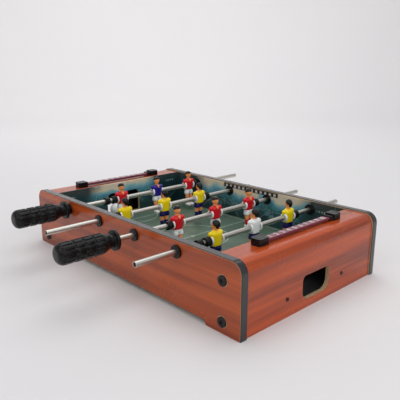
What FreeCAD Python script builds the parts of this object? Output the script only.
"""Tabletop foosball table with four player rods. Millimetres, +Z up, +X towards the right goal.

The origin is on the surface that the table stands on, under the middle of its box.
The handles are on the near side, which is -Y.
"""
import FreeCAD, Part
import math
import os

# Box: two side panels that stand on feet, with a plastic band round their edges.
TABLE_LENGTH = 510.0
TABLE_WIDTH = 310.0
TABLE_HEIGHT = 100.0
SIDE_THICKNESS = 12.0
CORNER_RADIUS = 17.0
FOOT_LENGTH = 60.0
FOOT_LIFT = 7.0
FOOT_SLOPE = 2.0
BAND_THICKNESS = 1.0
BAND_INSET = 0.6

# Ends: a folded panel whose top is a ledge, set in a little from the side panels.
END_RECESS = 2.0
END_THICKNESS = 6.0
LEDGE_WIDTH = 48.0
GOAL_WALL_THICKNESS = 5.0
POST_DEPTH = 24.0
POST_LIFT = 4.0

# Pitch: a board on two battens, between two printed liners.
FOOT_CLEARANCE = 7.5
BOARD_THICKNESS = 3.0
BATTEN_WIDTH = 14.0
BATTEN_HEIGHT = 12.0
LINER_THICKNESS = 2.0

# Goals and ball outlets.
GOAL_WIDTH = 76.0
GOAL_HEIGHT = 43.0
GOAL_CORNER = 10.0
OUTLET_WIDTH = 62.0
OUTLET_HEIGHT = 35.0
OUTLET_DROP = 22.0
OUTLET_TOP_CORNER = 7.0
OUTLET_BOTTOM_CORNER = 14.0
TRAY_THICKNESS = 2.0
TRAY_FALL = 3.0
TRAY_RISE = 11.0
TRAY_BLOCK_WIDTH = 12.0
TRAY_BLOCK_HEIGHT = 26.0

# Ball, resting in the mouth of the left goal.
BALL_DIAMETER = 24.0
BALL_LIFT = 0.3
BALL_FROM_GOAL_WALL = 8.0
BALL_Y = -24.0

# Rods, their slide positions as shares of the free travel each way, and their bushings.
ROD_SPACING = 93.5
ROD_DROP = 15.5
ROD_DIAMETER = 8.0
ROD_WALL = 0.8
ROD_TAIL = 32.0
ROD_SLIDE_SHARES = (0.98, -0.70, 0.23, -0.05)
ROD_FACINGS = (1, -1, 1, -1)
STOP_GAP = 0.4
RUNNING_CLEARANCE = 0.08
BUSHING_WALL = 1.9
BUSHING_RIM = 3.1
BUSHING_FLANGE = 3.0

# Rings on the rods.
BUMPER_LENGTH = 9.5
BUMPER_WALL = 3.0
BUMPER_GAP = 0.3
COLLARED_RODS = (0, 3)
COLLAR_LENGTH = 9.0
COLLAR_GAP = 5.5
COLLAR_WALL = 2.8

# Players, measured from the axis of the rod.
PLAYER_SPACING = 82.0
PLAYER_NAMES = ("near", "middle", "far")
BOSS_LENGTH = 24.0
BOSS_WALL = 1.6
HEAD_RADIUS = 5.8
HEAD_TOP = 28.5
NECK_RADIUS = 3.0
SHOULDER_HEIGHT = 13.0
SHOULDER_WIDTH = 24.0
HEM_DROP = 9.0
HEM_WIDTH = 16.0
SHORTS_DROP = 18.0
SHORTS_WIDTH = 18.0
LEG_RADIUS = 3.4
LEG_SPACING = 8.6
PLAYER_REACH = 42.0
SHOE_HEIGHT = 7.0
SHOE_WIDTH = 7.6
SHOE_HEEL = 5.5
SHOE_TOE = 8.0

# Player screws.
PIN_RADIUS = 1.0
PIN_HEAD_RADIUS = 2.2
PIN_HEAD_HEIGHT = 1.4
PIN_HEAD_SINK = 0.9

# Handles, along the rod from the flange.
HANDLED_RODS = (0, 2)
HANDLE_GAP = 3.5
HANDLE_LENGTH = 91.0
HANDLE_SEAT = 27.0
HANDLE_FLANGE_RADIUS = 15.0
HANDLE_FLANGE_LENGTH = 4.5
HANDLE_NECK_RADIUS = 10.2
HANDLE_NECK_END = 12.0
GRIP_START = 24.0
GRIP_RADIUS = 15.0
GRIP_DOME = 9.0
GROOVE_RADIUS = 1.9
RING_GROOVES = 3
FLUTES = 12
FLUTE_RADIUS = 1.8

# Panel bolts with barrel nuts, and the screws that hold the ball trays.
BOLT_INSET = 30.6
BOLT_TOP_DROP = 29.7
BOLT_BOTTOM_RISE = 15.9
BOLT_HEAD_RADIUS = 7.2
BOLT_HEAD_HEIGHT = 2.4
BOLT_SOCKET_WIDTH = 5.0
BOLT_SOCKET_DEPTH = 1.6
BOLT_RADIUS = 3.0
BOLT_CLEARANCE = 0.2
BOLT_REACH = 18.0
NUT_RADIUS = 5.0
NUT_LENGTH = 16.0
NUT_DEPTH = 12.0
SCREW_RADIUS = 1.5
SCREW_HEAD_RADIUS = 2.6
SCREW_HEAD_HEIGHT = 1.2
SCREW_LENGTH = 16.0

# Scorers: a numbered bar between two caps, with a slider on the bar.
SCORER_LENGTH = 187.0
SCORER_FROM_EDGE = 15.0
CAP_LENGTH = 18.5
CAP_WIDTH = 17.0
CAP_HEIGHT = 9.6
CAP_CORNER = 4.0
BAR_WIDTH = 11.0
BAR_HEIGHT = 4.2
BAR_LIFT = 1.9
BAR_SEAT = 6.0
SLIDER_LENGTH = 7.0
SLIDER_WALL = 1.2
SLIDER_CLEARANCE = 0.3
SLIDER_PARK_GAP = 1.0
SCORER_SCREW_RADIUS = 1.4
SCORER_SCREW_DEPTH = 5.0

# Places that follow from the sizes above.
HALF_LENGTH = TABLE_LENGTH / 2
HALF_WIDTH = TABLE_WIDTH / 2
INSIDE_Y = HALF_WIDTH - SIDE_THICKNESS
LINER_Y = INSIDE_Y - LINER_THICKNESS
END_X = HALF_LENGTH - END_RECESS
END_INSIDE_X = END_X - END_THICKNESS
FIELD_X = END_X - LEDGE_WIDTH
GOAL_BACK_X = FIELD_X + GOAL_WALL_THICKNESS
LEDGE_Z = TABLE_HEIGHT - END_RECESS
LEDGE_UNDER_Z = LEDGE_Z - END_THICKNESS
ROD_Z = TABLE_HEIGHT - ROD_DROP
FIELD_Z = ROD_Z - PLAYER_REACH - FOOT_CLEARANCE
BOARD_UNDER_Z = FIELD_Z - BOARD_THICKNESS
BATTEN_UNDER_Z = BOARD_UNDER_Z - BATTEN_HEIGHT
OUTLET_Z = FIELD_Z - OUTLET_DROP
ROD_RADIUS = ROD_DIAMETER / 2
RUNNING_RADIUS = ROD_RADIUS + RUNNING_CLEARANCE
BOSS_RADIUS = ROD_RADIUS + BOSS_WALL
BARREL_RADIUS = RUNNING_RADIUS + BUSHING_WALL
RIM_RADIUS = BARREL_RADIUS + BUSHING_RIM
BUSHING_OUTSIDE_Y = HALF_WIDTH + BUSHING_FLANGE
BUSHING_INSIDE_Y = LINER_Y - BUSHING_FLANGE
BUMPER_START = PLAYER_SPACING + BOSS_LENGTH / 2 + BUMPER_GAP
BUMPER_END = BUMPER_START + BUMPER_LENGTH
ROD_TRAVEL = BUSHING_INSIDE_Y - BUMPER_END - STOP_GAP
ROD_HALF_LENGTH = HALF_WIDTH + ROD_TRAVEL + ROD_TAIL
HANDLE_FLANGE_Y = -(BUSHING_OUTSIDE_Y + ROD_TRAVEL + HANDLE_GAP)
HANDLED_END_Y = HANDLE_FLANGE_Y - HANDLE_SEAT
TRAY_BLOCK_Y = OUTLET_WIDTH / 2 + TRAY_RISE + 2 * OUTLET_BOTTOM_CORNER - TRAY_BLOCK_WIDTH
TRAY_SCREW_Y = TRAY_BLOCK_Y + TRAY_BLOCK_WIDTH / 2
TRAY_SCREW_Z = OUTLET_Z + TRAY_BLOCK_HEIGHT / 2
SCORER_X = FIELD_X + SCORER_FROM_EDGE
SCORER_SCREW_Y = (SCORER_LENGTH - CAP_LENGTH + BAR_SEAT) / 2
BAR_Z = LEDGE_Z + BAR_LIFT
BAR_HALF_LENGTH = SCORER_LENGTH / 2 - CAP_LENGTH + BAR_SEAT
SLIDER_Y = SCORER_LENGTH / 2 - CAP_LENGTH - SLIDER_PARK_GAP - SLIDER_LENGTH / 2

ORIGIN = FreeCAD.Vector(0, 0, 0)
ALONG_X = FreeCAD.Vector(1, 0, 0)
ALONG_Y = FreeCAD.Vector(0, 1, 0)
ALONG_Z = FreeCAD.Vector(0, 0, 1)


def box(x_range, y_range, z_range):
    """Box between two ends along each axis."""
    lengths = [high - low for low, high in (x_range, y_range, z_range)]
    return Part.makeBox(*lengths, FreeCAD.Vector(x_range[0], y_range[0], z_range[0]))


def cylinder(radius, start, direction, length):
    """Cylinder of a length along a direction."""
    return Part.makeCylinder(radius, length, FreeCAD.Vector(*start), direction)


def ring(radius, bore, start, direction, length):
    """Cylinder with a bore right through it."""
    return cylinder(radius, start, direction, length).cut(cylinder(bore, start, direction, length))


def rounded_face(corners, place):
    """Flat face through corners (u, v, radius), where place turns u and v into a point."""
    flat = [FreeCAD.Vector(u, v, 0) for u, v, _ in corners]
    stops, edges = [], []
    for index, (_, _, radius) in enumerate(corners):
        corner = flat[index]
        back = (flat[index - 1] - corner).normalize()
        ahead = (flat[(index + 1) % len(flat)] - corner).normalize()
        half_angle = back.getAngle(ahead) / 2
        reach = radius / math.tan(half_angle)
        inward = (back + ahead).normalize() * (radius / math.sin(half_angle) - radius)
        stops.append((corner + back * reach, corner + inward, corner + ahead * reach, radius))
    for index, (entry, middle, leave, radius) in enumerate(stops):
        last = place(*stops[index - 1][2][:2])
        first, turn, end = (place(*point[:2]) for point in (entry, middle, leave))
        edges.append(Part.LineSegment(last, first).toShape())
        if radius:
            edges.append(Part.Arc(first, turn, end).toShape())
    return Part.Face(Part.Wire(edges))


def prism_y(corners, y_range):
    """Solid whose outline in X and Z is extruded along Y."""
    low, high = y_range
    face = rounded_face(corners, lambda u, v: FreeCAD.Vector(u, low, v))
    return face.extrude(FreeCAD.Vector(0, high - low, 0))


def prism_x(corners, x_range):
    """Solid whose outline in Y and Z is extruded along X."""
    low, high = x_range
    face = rounded_face(corners, lambda u, v: FreeCAD.Vector(low, u, v))
    return face.extrude(FreeCAD.Vector(high - low, 0, 0))


def prism_z(corners, z_range):
    """Solid whose outline in X and Y is extruded along Z."""
    low, high = z_range
    face = rounded_face(corners, lambda u, v: FreeCAD.Vector(u, v, low))
    return face.extrude(FreeCAD.Vector(0, 0, high - low))


def in_left_half(shape):
    """Mirror image of a piece of the right half."""
    return shape.mirror(ORIGIN, ALONG_X)


def in_near_half(shape):
    """Mirror image of a piece of the far half."""
    return shape.mirror(ORIGIN, ALONG_Y)


def both_halves(shapes, mirror):
    """Compound of pieces and their mirror images."""
    return Part.makeCompound(list(shapes) + [mirror(shape) for shape in shapes])


def joined(shapes):
    """One solid made of overlapping shapes."""
    return shapes[0].multiFuse(shapes[1:]).removeSplitter()


def rod_places():
    """X of each rod, from the left goal to the right one."""
    count = len(ROD_SLIDE_SHARES)
    return [(index - (count - 1) / 2) * ROD_SPACING for index in range(count)]


def bolt_places():
    """X and Z of each panel bolt in the right half."""
    bolt_x = HALF_LENGTH - BOLT_INSET
    return [(bolt_x, TABLE_HEIGHT - BOLT_TOP_DROP), (bolt_x, BOLT_BOTTOM_RISE)]


def side_outline(inset):
    """Outline of a side panel without its notch, smaller all round by an inset."""
    end, top = HALF_LENGTH - inset, TABLE_HEIGHT - inset
    radius = CORNER_RADIUS - inset
    return [(-end, 0, 0), (end, 0, 0), (end, top, radius), (-end, top, radius)]


def side_panel():
    """Far side panel, with holes for the bushings and the bolts."""
    panel = prism_y(side_outline(BAND_THICKNESS), (INSIDE_Y, HALF_WIDTH))
    notch_x = HALF_LENGTH - FOOT_LENGTH
    notch_top_x = notch_x - FOOT_SLOPE
    notch = [(-notch_x, 0, 0), (notch_x, 0, 0), (notch_top_x, FOOT_LIFT, 0), (-notch_top_x, FOOT_LIFT, 0)]
    cuts = [prism_y(notch, (INSIDE_Y, HALF_WIDTH))]
    cuts += [cylinder(BARREL_RADIUS, (x, INSIDE_Y, ROD_Z), ALONG_Y, SIDE_THICKNESS) for x in rod_places()]
    for x, z in bolt_places():
        hole = cylinder(BOLT_RADIUS + BOLT_CLEARANCE, (x, INSIDE_Y, z), ALONG_Y, SIDE_THICKNESS)
        cuts += [hole, in_left_half(hole)]
    return panel.cut(cuts)


def edge_band():
    """Plastic band over the top and the ends of the far side panel."""
    span = (INSIDE_Y + BAND_INSET, HALF_WIDTH - BAND_INSET)
    return prism_y(side_outline(0), span).cut(prism_y(side_outline(BAND_THICKNESS), span))


def side_liner():
    """Printed board on the inside of the far side panel, with holes for the bushings."""
    liner = box((-FIELD_X, FIELD_X), (LINER_Y, INSIDE_Y), (FIELD_Z, LEDGE_Z))
    return liner.cut([cylinder(BARREL_RADIUS, (x, LINER_Y, ROD_Z), ALONG_Y, LINER_THICKNESS)
                      for x in rod_places()])


def goal_opening(x_range):
    """Opening of the right goal."""
    side, top = GOAL_WIDTH / 2, FIELD_Z + GOAL_HEIGHT
    corners = [(-side, FIELD_Z, 0), (side, FIELD_Z, 0), (side, top, GOAL_CORNER), (-side, top, GOAL_CORNER)]
    return prism_x(corners, x_range)


def goal_wall():
    """Printed wall at the right end of the pitch, with the goal in it."""
    wall = box((FIELD_X, GOAL_BACK_X), (-INSIDE_Y, INSIDE_Y), (BATTEN_UNDER_Z, LEDGE_UNDER_Z))
    return wall.cut(goal_opening((FIELD_X, GOAL_BACK_X)))


def end_panel():
    """Right end panel, folded over the top into a ledge, with the ball outlet in it."""
    radius = CORNER_RADIUS - END_RECESS
    profile = [(END_INSIDE_X, 0, 0), (END_X, 0, 0), (END_X, LEDGE_Z, radius), (FIELD_X, LEDGE_Z, 1.0),
               (FIELD_X, LEDGE_UNDER_Z, 0), (END_INSIDE_X, LEDGE_UNDER_Z, 0)]
    panel = prism_y(profile, (-INSIDE_Y, INSIDE_Y))
    side, top = OUTLET_WIDTH / 2, OUTLET_Z + OUTLET_HEIGHT
    outlet = [(-side, OUTLET_Z, OUTLET_BOTTOM_CORNER), (side, OUTLET_Z, OUTLET_BOTTOM_CORNER),
              (side, top, OUTLET_TOP_CORNER), (-side, top, OUTLET_TOP_CORNER)]
    cuts = [prism_x(outlet, (END_INSIDE_X, END_X))]
    cuts += [screw_shank(y) for y in (-TRAY_SCREW_Y, TRAY_SCREW_Y)]
    cuts += [scorer_screw(y) for y in (-SCORER_SCREW_Y, SCORER_SCREW_Y)]
    return panel.cut(cuts)


def screw_shank(y):
    """Shank of a tray screw at the right end, which goes in from the outside."""
    return cylinder(SCREW_RADIUS, (END_X - SCREW_LENGTH, y, TRAY_SCREW_Z), ALONG_X, SCREW_LENGTH)


def tray_screw(y):
    """Screw through the right end panel into the ball tray."""
    head = cylinder(SCREW_HEAD_RADIUS, (END_X, y, TRAY_SCREW_Z), ALONG_X, SCREW_HEAD_HEIGHT)
    return joined([screw_shank(y), head])


def scorer_screw(y):
    """Headless screw that holds a scorer cap down on the right ledge."""
    length = END_THICKNESS + SCORER_SCREW_DEPTH
    return cylinder(SCORER_SCREW_RADIUS, (SCORER_X, y, LEDGE_UNDER_Z), ALONG_Z, length)


def corner_post():
    """Wooden post in the far right corner, drilled for the bolts and their barrel nuts."""
    post = box((GOAL_BACK_X, END_INSIDE_X), (INSIDE_Y - POST_DEPTH, INSIDE_Y), (POST_LIFT, LEDGE_UNDER_Z))
    cuts = []
    for x, z in bolt_places():
        cuts.append(cylinder(BOLT_RADIUS + BOLT_CLEARANCE, (x, HALF_WIDTH - BOLT_REACH - SIDE_THICKNESS, z),
                             ALONG_Y, BOLT_REACH + SIDE_THICKNESS))
        nut_start = x - NUT_LENGTH / 2
        cuts.append(cylinder(NUT_RADIUS, (nut_start, INSIDE_Y - NUT_DEPTH, z), ALONG_X,
                             END_INSIDE_X - nut_start))
    return post.cut(cuts)


def bolt_shank(x, z):
    """Threaded length of a panel bolt, from the outside of the far panel."""
    length = BOLT_REACH + SIDE_THICKNESS
    return cylinder(BOLT_RADIUS, (x, HALF_WIDTH - length, z), ALONG_Y, length)


def panel_bolt(x, z):
    """Bolt with a socket head, through the far side panel into its barrel nut."""
    head = cylinder(BOLT_HEAD_RADIUS, (x, HALF_WIDTH, z), ALONG_Y, BOLT_HEAD_HEIGHT)
    rim = [edge for edge in head.Edges if edge.BoundBox.YMin > HALF_WIDTH + BOLT_HEAD_HEIGHT / 2
           and edge.Closed]
    head = head.makeFillet(BOLT_HEAD_HEIGHT / 2, rim)
    socket_radius = BOLT_SOCKET_WIDTH / math.sqrt(3)
    corners = []
    for index in range(6):
        angle = math.radians(60 * index)
        corners.append((x + socket_radius * math.cos(angle), z + socket_radius * math.sin(angle), 0))
    socket_top = HALF_WIDTH + BOLT_HEAD_HEIGHT
    socket = prism_y(corners, (socket_top - BOLT_SOCKET_DEPTH, socket_top))
    return joined([head, bolt_shank(x, z)]).cut(socket)


def barrel_nut(x, z):
    """Cross nut in the far right post."""
    nut = cylinder(NUT_RADIUS, (x - NUT_LENGTH / 2, INSIDE_Y - NUT_DEPTH, z), ALONG_X, NUT_LENGTH)
    return nut.cut(bolt_shank(x, z))


def ball_tray():
    """Chute behind the right goal: it falls to the middle and to the outlet."""
    middle = OUTLET_WIDTH / 2
    edge = TRAY_BLOCK_Y
    sections = []
    for x, floor in ((GOAL_BACK_X, OUTLET_Z + TRAY_FALL), (END_INSIDE_X, OUTLET_Z)):
        upper = [(-edge, floor + TRAY_RISE), (-middle, floor), (middle, floor), (edge, floor + TRAY_RISE)]
        lower = [(y, z - TRAY_THICKNESS) for y, z in reversed(upper)]
        points = [FreeCAD.Vector(x, y, z) for y, z in upper + lower]
        sections.append(Part.makePolygon(points + points[:1]))
    floor_plate = Part.makeLoft(sections, True, True)
    z_range = (OUTLET_Z - TRAY_THICKNESS, OUTLET_Z + TRAY_BLOCK_HEIGHT)
    block = box((GOAL_BACK_X, END_INSIDE_X), (edge, edge + TRAY_BLOCK_WIDTH), z_range)
    tray = joined([floor_plate, block, in_near_half(block)])
    return tray.cut([screw_shank(y) for y in (-TRAY_SCREW_Y, TRAY_SCREW_Y)])


def playfield_batten():
    """Strip of wood that carries the far edge of the playfield board."""
    return box((-FIELD_X, FIELD_X), (INSIDE_Y - BATTEN_WIDTH, INSIDE_Y), (BATTEN_UNDER_Z, BOARD_UNDER_Z))


def bushing(x):
    """Flanged plastic bushing through the far side panel and liner."""
    flange = cylinder(RIM_RADIUS, (x, HALF_WIDTH, ROD_Z), ALONG_Y, BUSHING_FLANGE)
    barrel_length = BUSHING_OUTSIDE_Y - BUSHING_INSIDE_Y
    barrel = cylinder(BARREL_RADIUS, (x, BUSHING_INSIDE_Y, ROD_Z), ALONG_Y, barrel_length)
    return joined([flange, barrel]).cut(cylinder(RUNNING_RADIUS, (x, BUSHING_INSIDE_Y, ROD_Z), ALONG_Y,
                                                 barrel_length))


def bushing_collar(x):
    """Collar pushed on the inner end of a bushing, against the far liner."""
    return ring(RIM_RADIUS, BARREL_RADIUS, (x, BUSHING_INSIDE_Y, ROD_Z), ALONG_Y, BUSHING_FLANGE)


def scorer_bar():
    """Flat numbered bar over the right ledge."""
    return box((SCORER_X - BAR_WIDTH / 2, SCORER_X + BAR_WIDTH / 2), (-BAR_HALF_LENGTH, BAR_HALF_LENGTH),
               (BAR_Z, BAR_Z + BAR_HEIGHT))


def scorer_cap():
    """Far end cap of the right scorer, with a pocket for the bar."""
    end, inner = SCORER_LENGTH / 2, SCORER_LENGTH / 2 - CAP_LENGTH
    low, high = SCORER_X - CAP_WIDTH / 2, SCORER_X + CAP_WIDTH / 2
    corners = [(low, inner, 1.0), (high, inner, 1.0), (high, end, CAP_CORNER), (low, end, CAP_CORNER)]
    cap = prism_z(corners, (LEDGE_Z, LEDGE_Z + CAP_HEIGHT))
    return cap.cut([scorer_bar(), scorer_screw(SCORER_SCREW_Y)])


def scorer_slider():
    """Square ring that slides along the right scorer's bar, parked at the far cap."""
    def sleeve(wall):
        half_width = BAR_WIDTH / 2 + wall
        return box((SCORER_X - half_width, SCORER_X + half_width),
                   (SLIDER_Y - SLIDER_LENGTH / 2, SLIDER_Y + SLIDER_LENGTH / 2),
                   (BAR_Z - wall, BAR_Z + BAR_HEIGHT + wall))
    return sleeve(SLIDER_CLEARANCE + SLIDER_WALL).cut(sleeve(SLIDER_CLEARANCE))


def rod_tube(near_end, far_end, player_places, facing):
    """Steel tube of a rod on the Y axis, with a small hole for each player's screw."""
    tube = ring(ROD_RADIUS, ROD_RADIUS - ROD_WALL, (0, near_end, 0), ALONG_Y, far_end - near_end)
    return tube.cut([player_pin(y, facing) for y in player_places])


def player_pin(y, facing):
    """Screw through a player's back into the tube."""
    back = -(BOSS_RADIUS - PIN_HEAD_SINK)
    shank = cylinder(PIN_RADIUS, (back, y, 0), ALONG_X, -back)
    head = cylinder(PIN_HEAD_RADIUS, (back - PIN_HEAD_HEIGHT, y, 0), ALONG_X, PIN_HEAD_HEIGHT)
    pin = joined([shank, head])
    return pin if facing > 0 else pin.mirror(ORIGIN, ALONG_X)


def player(y, facing):
    """Moulded player on the Y axis, bored for the tube, who faces along X."""
    depth = BOSS_RADIUS
    shoulder, hem = SHOULDER_WIDTH / 2, HEM_WIDTH / 2
    chest = [(-hem, -HEM_DROP, 0), (hem, -HEM_DROP, 0), (shoulder, SHOULDER_HEIGHT / 2, 2.0),
             (shoulder - 1, SHOULDER_HEIGHT, 3.0), (1 - shoulder, SHOULDER_HEIGHT, 3.0),
             (-shoulder, SHOULDER_HEIGHT / 2, 2.0)]
    shorts_side = SHORTS_WIDTH / 2
    ankle_z = SHOE_HEIGHT - PLAYER_REACH
    head_z = HEAD_TOP - HEAD_RADIUS
    pieces = [prism_x(chest, (-depth, depth)),
              cylinder(BOSS_RADIUS, (0, -BOSS_LENGTH / 2, 0), ALONG_Y, BOSS_LENGTH),
              box((-depth, depth), (-shorts_side, shorts_side), (-SHORTS_DROP, -HEM_DROP)),
              cylinder(NECK_RADIUS, (0, 0, SHOULDER_HEIGHT), ALONG_Z, head_z - SHOULDER_HEIGHT),
              Part.makeSphere(HEAD_RADIUS, FreeCAD.Vector(0, 0, head_z))]
    for side in (-LEG_SPACING / 2, LEG_SPACING / 2):
        pieces.append(cylinder(LEG_RADIUS, (0, side, ankle_z), ALONG_Z, -SHORTS_DROP - ankle_z))
        pieces.append(box((-SHOE_HEEL, SHOE_TOE), (side - SHOE_WIDTH / 2, side + SHOE_WIDTH / 2),
                          (-PLAYER_REACH, ankle_z)))
    figure = joined(pieces)
    if facing < 0:
        figure.rotate(ORIGIN, ALONG_Z, 180)
    figure.translate(FreeCAD.Vector(0, y, 0))
    return figure.cut([cylinder(ROD_RADIUS, (0, y - BOSS_LENGTH, 0), ALONG_Y, 2 * BOSS_LENGTH),
                       player_pin(y, facing)])


def handle(flange_y):
    """Grooved handle on the near end of a rod on the Y axis."""
    def out(distance):
        return flange_y - distance
    grip_end = HANDLE_LENGTH
    corners = [(0, out(0), 0), (HANDLE_FLANGE_RADIUS, out(0), 1.0),
               (HANDLE_FLANGE_RADIUS, out(HANDLE_FLANGE_LENGTH), 1.0),
               (HANDLE_NECK_RADIUS, out(HANDLE_FLANGE_LENGTH), 0.8),
               (HANDLE_NECK_RADIUS, out(HANDLE_NECK_END), 2.0), (GRIP_RADIUS, out(GRIP_START), 3.0),
               (GRIP_RADIUS, out(grip_end), GRIP_DOME), (0, out(grip_end), 0)]
    face = rounded_face(corners, lambda u, v: FreeCAD.Vector(u, v, 0))
    body = face.revolve(ORIGIN, ALONG_Y, 360)
    fluted = grip_end - GRIP_DOME - GRIP_START
    pitch = fluted / (RING_GROOVES + 1)
    cuts = []
    for index in range(RING_GROOVES):
        center = FreeCAD.Vector(0, out(GRIP_START + pitch * (index + 1)), 0)
        cuts.append(Part.makeTorus(GRIP_RADIUS, GROOVE_RADIUS, center, ALONG_Y))
    for index in range(FLUTES):
        angle = 2 * math.pi * index / FLUTES
        start = (GRIP_RADIUS * math.cos(angle), out(grip_end), GRIP_RADIUS * math.sin(angle))
        cuts.append(cylinder(FLUTE_RADIUS, start, ALONG_Y, GRIP_DOME + fluted))
    cuts.append(cylinder(ROD_RADIUS, (0, out(HANDLE_SEAT), 0), ALONG_Y, HANDLE_SEAT))
    return body.cut(cuts)


def bumpers():
    """Two rubber rings, loose on the tube, beside the outer players."""
    far = ring(ROD_RADIUS + BUMPER_WALL, RUNNING_RADIUS, (0, BUMPER_START, 0), ALONG_Y, BUMPER_LENGTH)
    return both_halves([far], in_near_half)


def stop_collar():
    """Fixed ring nearer the handle than the bumper, which shortens the keeper's travel."""
    start = -(BUMPER_END + COLLAR_GAP + COLLAR_LENGTH)
    return ring(ROD_RADIUS + COLLAR_WALL, ROD_RADIUS, (0, start, 0), ALONG_Y, COLLAR_LENGTH)


def rod_nodes(index):
    """Nodes of one rod, by name, where they rest."""
    facing = ROD_FACINGS[index]
    places = dict(zip(PLAYER_NAMES, (-PLAYER_SPACING, 0.0, PLAYER_SPACING)))
    near_end = HANDLED_END_Y if index in HANDLED_RODS else -ROD_HALF_LENGTH
    pieces = {"tube": rod_tube(near_end, ROD_HALF_LENGTH, places.values(), facing), "bumpers": bumpers(),
              "player_screws": Part.makeCompound([player_pin(y, facing) for y in places.values()])}
    for name, y in places.items():
        pieces["player_" + name] = player(y, facing)
    if index in HANDLED_RODS:
        pieces["handle"] = handle(HANDLE_FLANGE_Y)
    if index in COLLARED_RODS:
        pieces["stop_collar"] = stop_collar()
    rest = FreeCAD.Vector(rod_places()[index], ROD_SLIDE_SHARES[index] * ROD_TRAVEL, ROD_Z)
    nodes = {}
    for name, shape in pieces.items():
        shape.translate(rest)
        nodes["rod_%d_%s" % (index + 1, name)] = shape
    return nodes


def table_nodes():
    """Nodes of the table itself, by name."""
    bolts = [panel_bolt(x, z) for x, z in bolt_places()]
    nuts = [barrel_nut(x, z) for x, z in bolt_places()]
    posts = [corner_post()]
    screws = [tray_screw(y) for y in (-TRAY_SCREW_Y, TRAY_SCREW_Y)]
    cap_screws = [scorer_screw(y) for y in (-SCORER_SCREW_Y, SCORER_SCREW_Y)]
    bushings = Part.makeCompound([bushing(x) for x in rod_places()])
    collars = Part.makeCompound([bushing_collar(x) for x in rod_places()])
    ball_place = (BALL_FROM_GOAL_WALL - FIELD_X, BALL_Y, FIELD_Z + BALL_LIFT + BALL_DIAMETER / 2)
    nodes = {
        "playfield_board": box((-FIELD_X, FIELD_X), (-INSIDE_Y, INSIDE_Y), (BOARD_UNDER_Z, FIELD_Z)),
        "playfield_battens": both_halves([playfield_batten()], in_near_half),
        "panel_bolts": both_halves(both_halves(bolts, in_near_half).Solids, in_left_half),
        "barrel_nuts": both_halves(both_halves(nuts, in_near_half).Solids, in_left_half),
        "corner_posts": both_halves(both_halves(posts, in_near_half).Solids, in_left_half),
        "end_panel_screws": both_halves(screws, in_left_half),
        "scorer_screws": both_halves(cap_screws, in_left_half),
        "ball": Part.makeSphere(BALL_DIAMETER / 2, FreeCAD.Vector(*ball_place)),
    }
    far_pieces = {"side_panel": side_panel(), "edge_band": edge_band(), "side_liner": side_liner(),
                  "bushings": bushings, "bushing_collars": collars}
    for name, shape in far_pieces.items():
        nodes[name + "_far"] = shape
        nodes[name + "_near"] = in_near_half(shape)
    right_pieces = {"end_panel": end_panel(), "goal_wall": goal_wall(), "ball_tray": ball_tray(),
                    "scorer_bar": scorer_bar(), "scorer_caps": both_halves([scorer_cap()], in_near_half),
                    "scorer_slider": scorer_slider()}
    for name, shape in right_pieces.items():
        nodes[name + "_right"] = shape
        nodes[name + "_left"] = in_left_half(shape)
    return nodes


def main():
    """Write every node to its own file."""
    os.makedirs("parts", exist_ok=True)
    nodes = table_nodes()
    for index in range(len(ROD_SLIDE_SHARES)):
        nodes.update(rod_nodes(index))
    for name, shape in sorted(nodes.items()):
        shape.exportStep("parts/" + name + ".step")


main()
